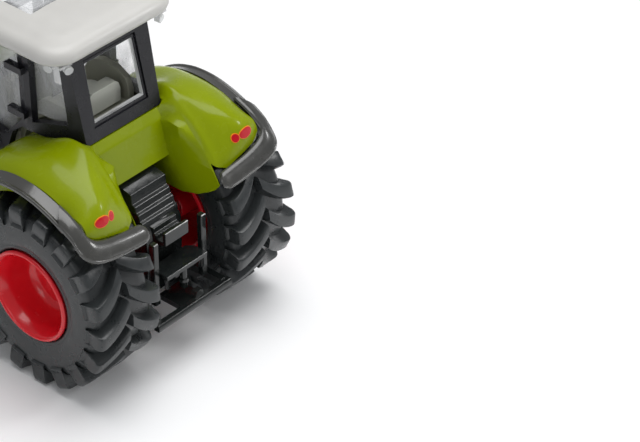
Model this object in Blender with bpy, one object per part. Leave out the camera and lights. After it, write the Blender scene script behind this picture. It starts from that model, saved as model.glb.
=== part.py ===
"""A small die-cast toy tractor: painted castings on a black plastic chassis, with two turning wheelsets.

Lengths below are millimetres. Shapes are drawn in the tractor frame: x = 0 on the centre plane with +X to
the tractor's left, y = 0 at the rear axle with the bonnet towards -Y, and z = 0 on the ground.
`make_object` turns them into metres and moves the whole tractor so that its base is centred on the origin.
"""

import math

import bmesh
import bpy
from mathutils import Matrix, Vector

MM = 0.001
CENTRE_SHIFT_Y = 30.75      # the rear axle lies this far behind the origin

# Wheels
REAR_RADIUS = 19.5          # over the lug tips
REAR_TYRE_CENTRE_X = 18.7
REAR_TYRE_HALF_WIDTH = 7.5
REAR_BORE = 9.4
REAR_LUGS = 18
FRONT_AXLE_Y = -57.0
FRONT_RADIUS = 14.5
FRONT_TYRE_CENTRE_X = 18.6
FRONT_TYRE_HALF_WIDTH = 5.6
FRONT_BORE = 7.3
FRONT_LUGS = 16
AXLE_RADIUS = 1.05
RUNNING_GAP = 0.3           # between a turning piece and a fixed one
TOUCH_GAP = 0.3             # between two pieces that meet
THIN_GAP = 0.15             # between small trim and the face it is fixed to

# Rear body
ARCH_RADIUS = 20.0          # underside of the fenders, over the lug tips
ARCH_INNER_X = 10.7
FENDER_OUTER_X = 22.7
RECESS_HALF_WIDTH = 8.1

# Cab
ROOF_BOTTOM_Z = 62.9
ROOF_HEIGHT = 4.2
CAB_WALL = 1.5
GLASS = 0.7

# Rear linkage
PLATE_TOP_Z = 19.7
BAR_HALF_LENGTH = 10.0
FRONT_RIVET_Y = -40.0
REAR_RIVET_Y = -10.0


# ---------------------------------------------------------------- materials and objects

def material(name, colour, roughness, metallic=0.0, alpha=1.0):
    """A Principled BSDF material for one kind of surface."""
    made = bpy.data.materials.new(name)
    made.use_nodes = True
    shader = made.node_tree.nodes["Principled BSDF"]
    shader.inputs["Base Color"].default_value = (*colour, 1.0)
    shader.inputs["Roughness"].default_value = roughness
    shader.inputs["Metallic"].default_value = metallic
    shader.inputs["Alpha"].default_value = alpha
    return made


def make_object(name, shape, surface, origin=(0.0, 0.0, 0.0)):
    """Turn a shape in millimetres into a named object with a material of its own.

    Its origin is the given point of the tractor.
    """
    bmesh.ops.recalc_face_normals(shape, faces=shape.faces)
    bmesh.ops.transform(shape, matrix=Matrix.Translation(-Vector(origin)), verts=shape.verts)
    bmesh.ops.scale(shape, vec=(MM, MM, MM), verts=shape.verts)
    mesh = bpy.data.meshes.new(name)
    shape.to_mesh(mesh)
    shape.free()
    mesh.shade_smooth()
    mesh.set_sharp_from_angle(angle=math.radians(32))
    own_surface = surface.copy()
    own_surface.name = name
    mesh.materials.append(own_surface)
    made = bpy.data.objects.new(name, mesh)
    made.location = (Vector(origin) + Vector((0.0, CENTRE_SHIFT_Y, 0.0))) * MM
    bpy.context.scene.collection.objects.link(made)
    return made


# ---------------------------------------------------------------- shape tools

def loft(rings):
    """A closed solid through rings of points that all have the same number of points."""
    shape = bmesh.new()
    rows = [[shape.verts.new(point) for point in ring] for ring in rings]
    count = len(rows[0])
    for near, far in zip(rows, rows[1:]):
        for i in range(count):
            j = (i + 1) % count
            shape.faces.new((near[i], near[j], far[j], far[i]))
    shape.faces.new(rows[0])
    shape.faces.new(reversed(rows[-1]))
    bmesh.ops.recalc_face_normals(shape, faces=shape.faces)
    return shape


def prism(axis, outline, low, high):
    """An outline in the plane across an axis, drawn in the order of the two other axes, made solid."""
    def lift(a, b, along):
        return {"x": (along, a, b), "y": (a, along, b), "z": (a, b, along)}[axis]
    return loft([[lift(a, b, along) for a, b in outline] for along in (low, high)])


def box(low, high):
    """A box between two opposite corners."""
    outline = [(low[1], low[2]), (high[1], low[2]), (high[1], high[2]), (low[1], high[2])]
    return prism("x", outline, low[0], high[0])


def turned(profile, segments, y, z):
    """A profile of (x, radius) points turned about an axis along X. A radius of 0 is a pole."""
    shape = bmesh.new()
    rings = []
    for x, radius in profile:
        if radius == 0:
            rings.append([shape.verts.new((x, y, z))] * segments)
            continue
        angles = [2 * math.pi * i / segments for i in range(segments)]
        ring = [(x, y + radius * math.cos(a), z + radius * math.sin(a)) for a in angles]
        rings.append([shape.verts.new(point) for point in ring])
    for k in range(len(rings)):
        near, far = rings[k], rings[(k + 1) % len(rings)]
        for i in range(segments):
            j = (i + 1) % segments
            corners = list(dict.fromkeys((near[i], near[j], far[j], far[i])))
            if len(corners) > 2:
                shape.faces.new(corners)
    bmesh.ops.recalc_face_normals(shape, faces=shape.faces)
    return shape


def rod(start, end, radius, segments=16):
    """A round rod between two points."""
    start, end = Vector(start), Vector(end)
    along = (end - start).normalized()
    side = along.orthogonal().normalized()
    across = along.cross(side)
    rings = []
    for centre in (start, end):
        angles = [2 * math.pi * i / segments for i in range(segments)]
        rings.append([centre + radius * (math.cos(a) * side + math.sin(a) * across) for a in angles])
    return loft(rings)


def mirrored(shape):
    """The same shape on the tractor's other side."""
    copy = shape.copy()
    bmesh.ops.scale(copy, vec=(-1, 1, 1), verts=copy.verts)
    bmesh.ops.recalc_face_normals(copy, faces=copy.faces)
    return copy


def moved(shape, step):
    bmesh.ops.translate(shape, vec=step, verts=shape.verts)
    return shape


def joined(*shapes):
    """Several separate shapes in one bmesh, ready to be cut out of or united with another."""
    mesh = bpy.data.meshes.new("joined")
    total = bmesh.new()
    for shape in shapes:
        shape.to_mesh(mesh)
        total.from_mesh(mesh)
        shape.free()
    bpy.data.meshes.remove(mesh)
    return total


def combine(base, other, operation):
    """The Boolean of two shapes: by the exact solver, or by the manifold one where that leaves a hole."""
    holders = []
    for shape in (base, other):
        mesh = bpy.data.meshes.new("operand")
        shape.to_mesh(mesh)
        shape.free()
        holder = bpy.data.objects.new("operand", mesh)
        bpy.context.scene.collection.objects.link(holder)
        holders.append(holder)
    modifier = holders[0].modifiers.new("combine", "BOOLEAN")
    modifier.operation = operation
    modifier.object = holders[1]
    for solver in ("EXACT", "MANIFOLD"):
        modifier.solver = solver
        result = bmesh.new()
        result.from_object(holders[0], bpy.context.evaluated_depsgraph_get())
        if result.faces and all(edge.is_manifold for edge in result.edges):
            break
    for holder in holders:
        mesh = holder.data
        bpy.data.objects.remove(holder)
        bpy.data.meshes.remove(mesh)
    return result


def union(base, *others):
    for other in others:
        base = combine(base, other, "UNION")
    return base


def cut(base, *cutters):
    for cutter in cutters:
        base = combine(base, cutter, "DIFFERENCE")
    return base


def rounded(width, depth, corner, steps=4, centre=(0.0, 0.0)):
    """A rounded rectangle, as a list of points, counter-clockwise."""
    points = []
    for k, (sx, sy) in enumerate(((1, 1), (-1, 1), (-1, -1), (1, -1))):
        for i in range(steps + 1):
            angle = math.radians(90 * (k + i / steps))
            points.append((centre[0] + sx * (width / 2 - corner) + corner * math.cos(angle),
                           centre[1] + sy * (depth / 2 - corner) + corner * math.sin(angle)))
    return points


def ellipse(centre, radii, segments=20):
    angles = [2 * math.pi * i / segments for i in range(segments)]
    return [(centre[0] + radii[0] * math.cos(a), centre[1] + radii[1] * math.sin(a)) for a in angles]


# ---------------------------------------------------------------- wheels

def lug(centre_x, half_width, radius, height, start, sweep, side):
    """One tread bar: it leaves the tread's centre at an angle and bends to run straight over the shoulder."""
    top_half = 1.35 / radius
    base_half = 1.95 / radius
    shoulder = radius - height - 1.7
    stations = ((0.04, 0.0, height), (0.4, 0.0, height), (0.8, 0.0, height), (1.05, 0.35, radius - shoulder))
    rings = []
    for share, drop, depth in stations:
        angle = start - sweep * (1 - (1 - min(share, 1.0)) ** 1.8)
        x = centre_x + side * share * half_width
        corners = ((-base_half, radius - depth - 0.5), (-top_half, radius - drop),
                   (top_half, radius - drop), (base_half, radius - depth - 0.5))
        rings.append([(x, r * math.cos(angle + d), r * math.sin(angle + d)) for d, r in corners])
    return loft(rings)


def tyre(centre_x, half_width, radius, bore, lugs, height, segments):
    """A rubber tyre with a smooth sidewall and two rows of alternating bars, centred on the axle line."""
    tread = radius - height
    side = [(0.86, bore), (0.97, bore + 1.7), (1.0, bore + 3.6), (0.95, tread - 1.3), (0.8, tread - 0.25)]
    profile = [(centre_x + share * half_width, r) for share, r in side]
    profile += [(centre_x - share * half_width, r) for share, r in reversed(side)]
    carcass = turned(profile, segments, 0.0, 0.0)
    pitch = 2 * math.pi / lugs
    bars = []
    for i in range(lugs):
        outer_start = -math.pi / 2 + i * pitch
        bars.append(lug(centre_x, half_width, radius, height, outer_start, math.radians(15), 1))
        bars.append(lug(centre_x, half_width, radius, height, outer_start + pitch / 2, math.radians(15), -1))
    return union(carcass, joined(*bars))


def rear_rim():
    """The deep rear wheel centre: a hub disc set well in, a barrel that flares to a raised outer lip."""
    outside = [(19.5, 0.0), (19.5, 2.8), (19.0, 3.2), (19.0, 5.8), (19.7, 6.9), (25.2, 7.9), (26.1, 8.3),
               (26.4, 8.8), (26.35, 9.25), (25.9, 9.5), (25.6, 9.1)]
    inside = [(11.9, 9.1), (11.6, 9.4), (11.3, 9.4), (11.2, 8.7), (12.3, 8.1), (16.6, 7.1), (17.5, 5.8),
              (17.5, 3.2), (12.6, 2.7), (12.4, 2.4), (12.4, AXLE_RADIUS + 0.2), (18.4, AXLE_RADIUS + 0.2),
              (18.4, 0.0)]
    return turned(outside + inside, 30, 0.0, 0.0)


def front_rim():
    """The smaller front wheel centre, of the same pattern."""
    outside = [(20.2, 0.0), (20.2, 2.3), (19.8, 2.7), (19.8, 4.4), (20.4, 5.2), (23.4, 6.0), (24.2, 6.4),
               (24.3, 6.9), (24.0, 7.35), (23.4, 7.0)]
    inside = [(13.4, 7.0), (13.1, 7.3), (12.8, 7.2), (12.8, 6.5), (13.6, 6.1), (17.2, 5.3), (18.2, 4.4),
              (18.2, 2.6), (13.6, 2.1), (13.6, AXLE_RADIUS + 0.2), (19.2, AXLE_RADIUS + 0.2), (19.2, 0.0)]
    return turned(outside + inside, 26, 0.0, 0.0)


def add_wheelset(prefix, rim, rubber, axle_half_length, axle_y, axle_z, surfaces):
    """Two wheels pressed on one steel axle: every piece has its origin on the axle line."""
    centre = (0.0, axle_y, axle_z)
    move = Matrix.Translation(centre)
    axle = rod((-axle_half_length, 0, 0), (axle_half_length, 0, 0), AXLE_RADIUS)
    pieces = {
        prefix + "_rim_left": (rim, surfaces["red"]),
        prefix + "_rim_right": (mirrored(rim), surfaces["red"]),
        prefix + "_tyre_left": (rubber, surfaces["rubber"]),
        prefix + "_tyre_right": (mirrored(rubber), surfaces["rubber"]),
        prefix + "_axle": (axle, surfaces["steel"]),
    }
    for name, (shape, surface) in pieces.items():
        bmesh.ops.transform(shape, matrix=move, verts=shape.verts)
        make_object(name, shape, surface, centre)


# ---------------------------------------------------------------- green castings

def fender_line(crown, rear, foot, fullness=1.0):
    """The side view of a fender's skin, from its front foot over the crown to its rear lower edge.

    A full one stands nearly upright behind; one of no fullness slopes down from the crown.
    """
    shoulder = 40.4 + 0.5 * crown
    front_crown = min(crown, 0.0)
    slope = 1.0 - fullness
    return [(-19.7, 28.3), (-19.4, 33.0), (-17.2, 38.6 + front_crown), (-13.0, 42.2 + front_crown),
            (-7.5, 44.2 + front_crown), (-1.5, 44.7 + crown), (4.0 - 1.4 * slope, 44.0 + crown),
            (rear - 4.2 - 4.5 * slope, 42.1 + crown), (rear - 1.4 - 4.0 * slope, shoulder),
            (rear - 0.4 - 1.6 * slope, foot + 0.5 * (shoulder - foot)), (rear, foot)]


def crease_line():
    """The crease along a fender's inner edge, from the cab's rear corner down beside the gearbox."""
    return [(-19.7, 28.3), (-19.4, 33.0), (-17.2, 38.2), (-13.0, 41.8), (-7.5, 43.5), (-1.5, 45.2),
            (1.6, 45.6), (4.2, 44.1), (7.5, 40.8), (11.0, 36.7), (14.3, 31.4)]


def flank_line():
    """The middle of the fender's flank, half way from the recess's side wall out to the crease."""
    return [(-19.7, 28.3), (-19.4, 33.0), (-17.2, 38.2), (-13.0, 41.8), (-7.5, 43.3), (-1.5, 44.5),
            (1.0, 44.9), (3.0, 43.6), (6.7, 41.6), (8.5, 36.9), (10.6, 29.8)]


def side_wall_line():
    """The rear edge of the recess's side wall, where the fender's flank begins."""
    return [(-19.7, 28.3), (-19.4, 33.0), (-17.2, 38.2), (-13.0, 41.8), (-7.5, 43.2), (-1.5, 43.9),
            (0.6, 44.3), (1.8, 42.6), (6.0, 42.2), (6.5, 37.0), (7.9, 29.4)]


def centre_line():
    """The middle of the casting: the ledge behind the cab and the bulkhead that slopes to the gearbox."""
    return [(-19.7, 28.3), (-19.4, 33.0), (-17.2, 38.2), (-13.0, 41.8), (-7.5, 43.2), (-1.5, 43.9),
            (0.6, 44.3), (1.8, 42.5), (2.4, 40.0), (3.3, 36.5), (3.7, 35.2)]


def blend(near, far, share):
    """The outline part of the way from one to another."""
    return [((1 - share) * a + share * c, (1 - share) * b + share * d) for (a, b), (c, d) in zip(near, far)]


def wheel_arch():
    return turned([(ARCH_INNER_X, 0.0), (ARCH_INNER_X, ARCH_RADIUS), (30.0, ARCH_RADIUS), (30.0, 0.0)],
                  48, 0.0, REAR_RADIUS)


def rear_body():
    """One casting: both fenders, the ledge under the rear window, and the recess over the gearbox."""
    centre_foot = [(3.0, 35.0), (2.4, 34.6), (-9.0, 34.6), (-9.0, 29.0)]
    wall_foot = [(7.5, 28.4), (6.6, 27.9), (-9.0, 27.6), (-9.6, 27.1)]
    flank_foot = [(9.9, 28.3), (8.4, 27.9), (-9.0, 28.0), (-9.6, 27.5)]
    crease_foot = [(12.9, 29.8), (10.8, 28.4), (-9.0, 28.6), (-9.5, 28.0)]
    fender_foot = [(12.0, 33.0), (10.0, 31.0), (-9.0, 31.0), (-9.3, 29.6)]
    shoulder = fender_line(2.2, 14.0, 32.9, 0.0)
    stations = [
        (RECESS_HALF_WIDTH, centre_line(), centre_foot),
        (RECESS_HALF_WIDTH + 0.4, side_wall_line(), wall_foot),
        (9.4, flank_line(), flank_foot),
        (10.5, crease_line(), crease_foot),
        (11.3, blend(crease_line(), shoulder, 0.6), blend(crease_foot, fender_foot, 0.6)),
        (12.4, shoulder, fender_foot),
        (14.5, fender_line(1.7, 13.9, 34.4, 0.5), fender_foot),
        (18.0, fender_line(0.8, 13.9, 35.4), fender_foot),
        (21.0, fender_line(-0.5, 13.6, 36.3), fender_foot),
        (FENDER_OUTER_X, fender_line(-1.8, 13.0, 37.4), fender_foot),
    ]
    half = [[(x, y, z) for y, z in top + under] for x, top, under in stations]
    other_half = [[(-x, y, z) for x, y, z in ring] for ring in reversed(half)]
    body = loft(other_half + half)
    bmesh.ops.triangulate(body, faces=body.faces)
    return cut(body, wheel_arch(), mirrored(wheel_arch()), cab_shell(TOUCH_GAP, TOUCH_GAP, CAB_FLOOR_LINE))


def corner_band():
    """The rear corner piece of the left trim: a crowned band that wraps from the rear face onto the arc.

    Each station gives the band's edge beside the green and its free edge, both as (x, y, z).
    """
    stations = [((10.6, 14.6, 33.6), (10.6, 15.7, 32.0)), ((10.9, 14.3, 34.3), (10.9, 16.2, 31.5)),
                ((12.5, 14.3, 34.6), (12.5, 16.4, 31.4)), ((17.6, 14.4, 35.4), (18.0, 16.5, 32.0)),
                ((21.2, 14.2, 36.4), (22.4, 16.4, 32.9)), ((22.85, 13.5, 37.6), (24.6, 15.7, 33.8)),
                ((22.95, 12.0, 39.0), (25.6, 14.1, 35.1)), ((22.95, 9.6, 40.5), (25.8, 12.0, 37.4)),
                ((22.9, 6.6, 41.7), (25.9, 9.2, 39.1))]
    section = [(0.0, 0.0), (0.12, 0.65), (0.5, 0.95), (0.85, 0.7), (1.0, 0.1), (0.9, -0.3), (0.5, -0.45),
               (0.1, -0.35)]
    hub = Vector((18.0, 0.0, REAR_RADIUS))
    rings = []
    for k, (inner, outer) in enumerate(stations):
        inner, outer = Vector(inner), Vector(outer)
        before, after = stations[max(k - 1, 0)], stations[min(k + 1, len(stations) - 1)]
        along = Vector(after[0]) + Vector(after[1]) - Vector(before[0]) - Vector(before[1])
        proud = along.cross(outer - inner).normalized()
        if proud.dot(inner - hub) < 0:
            proud.negate()
        rings.append([inner.lerp(outer, share) + rise * proud for share, rise in section])
    return loft(rings)


def fender_trim():
    """The left fender's dark edge: a flat flare along the outer arc that runs into the rear corner piece."""
    inner_x = FENDER_OUTER_X + THIN_GAP
    reaches = {154: 24.2, 140: 24.2, 125: 24.1, 108: 23.8, 92: 23.1, 78: 22.4, 66: 22.0, 60: 21.9}
    arc = []
    for angle, reach in reaches.items():
        a = math.radians(angle)
        corners = ((inner_x, reach - 0.8), (25.4, reach - 0.8), (25.8, reach - 0.6), (25.7, reach - 0.2),
                   (25.1, reach), (inner_x, reach + 0.5))
        arc.append([(x, r * math.cos(a), REAR_RADIUS + r * math.sin(a)) for x, r in corners])
    return union(loft(arc), corner_band())


def bonnet():
    """The front casting: a long hood with soft top edges that falls towards the nose, hollow underneath."""
    rings = []
    sections = [(-31.0, 9.3, 45.4, 3.0), (-45.0, 9.0, 44.4, 3.0), (-62.0, 8.4, 42.2, 3.0),
                (-73.0, 7.8, 39.6, 3.2), (-77.5, 7.2, 37.0, 3.2), (-79.0, 6.6, 34.6, 2.6)]
    for y, half_width, top, corner in sections:
        upper = [(half_width - corner + corner * math.cos(math.radians(a)),
                  top - corner + corner * math.sin(math.radians(a))) for a in (0, 30, 60, 90)]
        outline = [(half_width, 25.0)] + upper + [(0.0, top + 0.5)]
        outline += [(-x, z) for x, z in reversed(upper)] + [(-half_width, 25.0)]
        rings.append([(x, y, z) for x, z in outline])
    hollow_outline = [(-73.0, 20.0), (-33.0, 20.0), (-33.0, 41.5), (-60.0, 39.0), (-73.0, 36.0)]
    hollow = prism("x", hollow_outline, -6.2, 6.2)
    grille_seat = box((-5.5, -80.0, 20.0), (5.5, -73.5, 33.0))
    return cut(loft(rings), hollow, grille_seat)


# ---------------------------------------------------------------- cab

CAB_FLOOR_LINE = [(6.0, 44.55), (-1.6, 44.55), (-2.4, 43.1), (-15.0, 43.0), (-18.6, 40.2), (-20.2, 36.5),
                  (-20.4, 31.6), (-40.0, 31.6)]


def cab_ring(z, grow):
    """The cab's plan at one height: widest at the door pillar, narrower at the windscreen and the rear."""
    share = (z - 44.5) / 18.0
    rear = 0.55 - 3.4 * share
    front = -30.3 + 4.6 * max(share, 0.0)
    half = [(9.7 + 0.5 * share, rear), (11.3, -13.6), (8.7 + 0.3 * share, front)]
    y_growth = (grow, 0.0, -grow)
    points = [(x + grow, y + step) for (x, y), step in zip(half, y_growth)]
    return [(x, y, z) for x, y in points + [(-x, y) for x, y in reversed(points)]]


def below(line, drop):
    """Everything under a line drawn in side view, shifted down by a gap."""
    outline = [(y, z - drop) for y, z in line] + [(-40.0, 10.0), (6.0, 10.0)]
    return prism("x", outline, -40.0, 40.0)


def cab_shell(grow, drop, line):
    """The cab's outer form, grown by a gap, and cut off along its lower line."""
    return cut(loft([cab_ring(z, grow) for z in (25.0, 44.5, 62.4)]), below(line, drop))


def side_window(outline):
    """A cutter for a window on both sides, from its outline in side view."""
    return prism("x", outline, -20.0, 20.0)


QUARTER_WINDOW = [(-3.6, 47.6), (-4.9, 60.4), (-12.2, 60.4), (-12.2, 45.2)]
DOOR_WINDOW = [(-15.2, 44.6), (-15.2, 60.4), (-24.6, 60.4), (-28.2, 45.0), (-27.6, 37.6), (-21.6, 38.0)]


def cab_frame():
    """The black cab moulding: pillars, sill and roof ring, with every window an open hole."""
    frame = cab_shell(0.0, 0.0, CAB_FLOOR_LINE)
    inside = loft([cab_ring(z, -CAB_WALL) for z in (20.0, 44.5, 70.0)])
    rear_window = prism("y", [(-7.0, 47.0), (7.0, 47.0), (6.7, 60.4), (-6.7, 60.4)], -6.0, 6.0)
    windscreen = prism("y", [(-7.2, 46.6), (7.2, 46.6), (7.3, 60.4), (-7.3, 60.4)], -40.0, -22.0)
    hinges = [box((11.0, -17.4, z), (12.4, -13.0, z + 1.3)) for z in (46.0, 55.6)]
    frame = cut(frame, inside, rear_window, windscreen, side_window(QUARTER_WINDOW), side_window(DOOR_WINDOW))
    for hinge in hinges:
        other = mirrored(hinge)
        frame = union(frame, hinge, other)
    return frame


def cab_glazing():
    """One clear moulding that stands inside the frame and closes every window but the rear one."""
    outside = cab_shell(-CAB_WALL - TOUCH_GAP, -3.2, CAB_FLOOR_LINE)
    inside = loft([cab_ring(z, -CAB_WALL - TOUCH_GAP - GLASS) for z in (20.0, 44.5, 70.0)])
    rear_opening = box((-7.2, -7.0, 30.0), (7.2, 6.0, 70.0))
    return cut(outside, inside, rear_opening)


def roof():
    """The roof: a thick rounded lid with a shallow crown and a hole for the skylight."""
    rings = []
    for z, inset in [(0.0, 0.9), (0.5, 0.15), (1.4, 0.0), (2.6, 0.5), (3.5, 1.9), (ROOF_HEIGHT, 4.6)]:
        outline = rounded(32.0 - 2 * inset, 33.4 - 2 * inset, 5.2 - 0.35 * inset, 4, (0.0, -16.2))
        rings.append([(x, y, ROOF_BOTTOM_Z + z) for x, y in outline])
    hatch = box((-8.8, -28.0, 60.0), (8.8, -13.1, 70.0))
    return cut(loft(rings), hatch)


def skylight():
    """The clear panel in the roof's hatch, with a raised border."""
    low, high = ROOF_BOTTOM_Z + 0.6, ROOF_BOTTOM_Z + ROOF_HEIGHT
    panel = box((-8.5, -27.7, low), (8.5, -13.4, high))
    dip = box((-7.6, -26.8, high - 0.5), (7.6, -14.3, high + 2.0))
    return cut(panel, dip)


def roof_lamps(side):
    """A pair of clear work lamps under one rear corner of the roof, on one strip."""
    high = ROOF_BOTTOM_Z - THIN_GAP
    strip = box((10.7, -5.0, high - 0.5), (13.6, -0.9, high))
    lamps = [rod((11.6, -1.6, high - 1.0), (11.9, -0.5, high - 1.2), 0.9, 12),
             rod((13.0, -4.2, high - 1.0), (14.0, -3.9, high - 1.2), 0.9, 12)]
    shape = union(strip, *lamps)
    return shape if side > 0 else mirrored(shape)


def interior():
    """The grey cab floor with a console along each side, over the wheel arches."""
    floor = [(-1.6, 45.2), (-1.6, 44.6), (-2.9, 43.3), (-14.0, 43.3), (-18.0, 40.6), (-19.9, 36.6),
             (-20.1, 32.0), (-26.8, 32.0), (-26.8, 33.6), (-21.5, 33.6), (-20.9, 37.5), (-18.6, 42.4),
             (-14.6, 45.2)]
    right_console = [(-3.6, 44.0), (-3.6, 47.6), (-4.4, 50.0), (-7.0, 51.4), (-11.0, 51.6), (-14.0, 50.4),
                     (-15.6, 47.6), (-15.6, 44.0)]
    left_console = [(-3.6, 44.0), (-3.6, 46.6), (-4.6, 48.0), (-13.0, 48.0), (-15.0, 46.6), (-15.0, 44.0)]
    dash = [(-26.8, 33.0), (-26.8, 46.0), (-24.6, 47.4), (-23.4, 46.6), (-24.2, 42.0), (-25.0, 33.0)]
    return union(prism("x", floor, -6.4, 6.4), prism("x", right_console, -7.0, -5.6),
                 prism("x", left_console, 5.6, 7.0), prism("x", dash, -5.6, 5.6))


def seat():
    """The driver's seat: a cushion and a broad back with a rounded top."""
    cushion = prism("z", rounded(8.2, 6.4, 1.6, 3, (0.0, -9.2)), 45.5, 47.6)
    back_outline = [(-4.2, 45.9), (4.2, 45.9), (4.3, 48.6), (3.9, 49.9), (3.0, 50.6), (-3.0, 50.6),
                    (-3.9, 49.9), (-4.3, 48.6)]
    back = prism("y", back_outline, -6.9, -4.4)
    return union(cushion, back)


def steering_wheel():
    """A small wheel on a sloping column that grows out of the dash."""
    ring_profile = [(0.35 * math.cos(a) + 0.35, 2.6 + 0.35 * math.sin(a))
                    for a in (2 * math.pi * i / 6 for i in range(6))]
    ring = turned(ring_profile, 20, 0.0, 0.0)
    spokes = box((0.1, -0.45, -2.6), (0.6, 0.45, 2.6))
    column = rod((0.3, 0, 0), (-5.0, 0, 0), 0.5, 10)
    wheel = union(ring, spokes, column)
    tilt = Matrix.Translation((0.0, -19.2, 49.8)) @ Matrix.Rotation(math.radians(-42), 4, "X")
    turn = Matrix.Rotation(math.radians(90), 4, "Z")
    bmesh.ops.transform(wheel, matrix=tilt @ turn, verts=wheel.verts)
    return wheel


# ---------------------------------------------------------------- lamps, grille and exhaust

def tail_lamp(side):
    """A tail lamp, a thin red layer on one fender's rear face: a large oval and a small circle."""
    large = prism("y", ellipse((side * 19.0, 38.9), (1.75, 1.05)), 11.0, 15.0)
    small = prism("y", ellipse((side * 16.5, 38.75), (0.9, 0.9), 16), 11.0, 15.0)
    layer = combine(union(large, small), moved(rear_body(), (0, TOUCH_GAP + 0.4, 0)), "INTERSECT")
    return cut(layer, moved(rear_body(), (0, TOUCH_GAP, 0)))


def grille():
    """The black nose insert: a panel with cross bars."""
    panel = box((-5.2, -78.8, 25.3), (5.2, -74.2, 32.7))
    slots = [box((-4.4, -80.0, z), (4.4, -78.0, z + 0.7)) for z in (26.4, 28.0, 29.6, 31.2)]
    return cut(panel, *slots)


def headlamp():
    """The left headlamp, a clear lens set beside the grille."""
    outline = [(5.75, 28.6), (7.0, 28.6), (7.0, 32.4), (5.75, 32.9)]
    return prism("y", outline, -79.75, -79.1)


def exhaust():
    """The upright exhaust beside the bonnet's right rear corner, with the bracket that meets the bonnet."""
    x, y = -11.5, -33.6
    pipe = rod((x, y, 31.0), (x, y, 57.0), 1.05, 14)
    silencer = rod((x, y, 34.0), (x, y, 47.5), 1.75, 14)
    bracket = box((x, y - 0.8, 35.0), (-9.65, y + 0.8, 38.0))
    return union(pipe, silencer, bracket)


# ---------------------------------------------------------------- chassis and linkage

def gearbox_outline():
    """The stepped rear of the gearbox in side view, falling rearwards under the recess."""
    edges = [(6.0, 33.6), (7.0, 31.2), (7.9, 29.7), (8.8, 28.2), (9.5, 26.6)]
    points = [(3.0, 34.3)]
    for (y, z), (next_y, next_z) in zip(edges, edges[1:] + [(9.5, 24.8)]):
        points.append((y, z))
        points.append((y + 0.25, next_z + 0.35))
    return points + [(9.7, 12.0), (-8.0, 12.0), (-8.0, 26.4), (-3.0, 34.2)]


def chassis():
    """The black base: spine, stepped gearbox, axle housings, front carrier and the lower hitch frame."""
    gearbox = prism("x", gearbox_outline(), -4.7, 4.7)
    step_outline = [(8.3, 27.3), (10.0, 27.1), (10.1, 26.0), (10.8, 25.8), (10.8, 25.0), (12.3, 25.0),
                    (12.3, 27.2), (13.1, 27.2), (13.1, 24.3), (11.2, 23.8), (11.0, 22.6), (8.3, 22.6)]
    lower_steps = prism("x", step_outline, -3.15, 3.15)
    spine = box((-4.4, -72.0, 12.4), (4.4, -4.0, 24.4))
    footwell = box((-7.8, -29.5, 14.0), (7.8, -21.0, 31.3))
    rear_housing = rod((-10.6, 0, REAR_RADIUS), (10.6, 0, REAR_RADIUS), 3.3, 20)
    front_housing = rod((-11.8, FRONT_AXLE_Y, FRONT_RADIUS), (11.8, FRONT_AXLE_Y, FRONT_RADIUS), 2.4, 20)
    nose_outline = [(-69.0, 13.0), (-69.0, 24.7), (-73.0, 24.7), (-81.0, 23.6), (-81.0, 17.0), (-76.0, 13.0)]
    nose = prism("x", nose_outline, -5.6, 5.6)
    step = mirrored_pair(box((7.6, -28.5, 15.0), (13.4, -22.4, 16.6)))
    body = union(gearbox, lower_steps, spine, footwell, rear_housing, front_housing, nose, step)
    bore = AXLE_RADIUS + RUNNING_GAP
    rear_bore = rod((-30, 0, REAR_RADIUS), (30, 0, REAR_RADIUS), bore, 20)
    front_bore = rod((-30, FRONT_AXLE_Y, FRONT_RADIUS), (30, FRONT_AXLE_Y, FRONT_RADIUS), bore, 20)
    return cut(body, rear_bore, front_bore)


def mirrored_pair(shape):
    other = mirrored(shape)
    return joined(shape, other)


def hitch_plate():
    """The flat plate over the coupling with its round pin and the two short posts beneath it."""
    outline = [(-5.4, 15.5), (-5.4, 12.2), (-4.2, 10.9), (4.2, 10.9), (5.4, 12.2), (5.4, 15.5)]
    plate = prism("z", outline, PLATE_TOP_Z - 0.9, PLATE_TOP_Z)
    neck = box((-2.2, 10.0, PLATE_TOP_Z - 2.0), (2.2, 12.2, PLATE_TOP_Z - 0.5))
    pin = rod((0, 14.4, PLATE_TOP_Z - 0.5), (0, 14.4, 14.2), 0.75, 14)
    head = rod((0, 14.4, 16.2), (0, 14.4, 15.6), 1.05, 14)
    posts = [rod((x, 14.6, PLATE_TOP_Z - 0.5), (x, 14.6, 16.4), 0.5, 10) for x in (-4.7, 4.7)]
    return union(plate, neck, pin, head, *posts)


def hitch_bar():
    """The lower linkage: a cross bar with stepped ends, a raised tab and a tongue to the gearbox."""
    bar = prism("x", [(16.0, 10.3), (17.3, 10.3), (17.5, 11.0), (17.2, 11.8), (16.0, 11.8)],
                -BAR_HALF_LENGTH, BAR_HALF_LENGTH)
    tongue = box((-3.4, 10.0, 10.3), (2.4, 16.3, 11.5))
    tab = prism("y", [(-3.3, 11.0), (-0.6, 11.0), (-1.2, 13.0), (-2.8, 13.0)], 15.2, 16.6)
    arms = mirrored_pair(box((8.2, 6.0, 10.3), (9.6, 16.3, 11.9)))
    return union(bar, tongue, tab, arms)


def lift_rod():
    """One upright link of the rear linkage, standing beside the hitch plate."""
    return box((5.75, 12.6, 13.0), (7.1, 13.9, 27.0))


def rivet(y):
    """The peened stud that holds a casting down, seen as a round head under the chassis."""
    return rod((0, y, 11.7), (0, y, 10.9), 1.9, 16)


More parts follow.
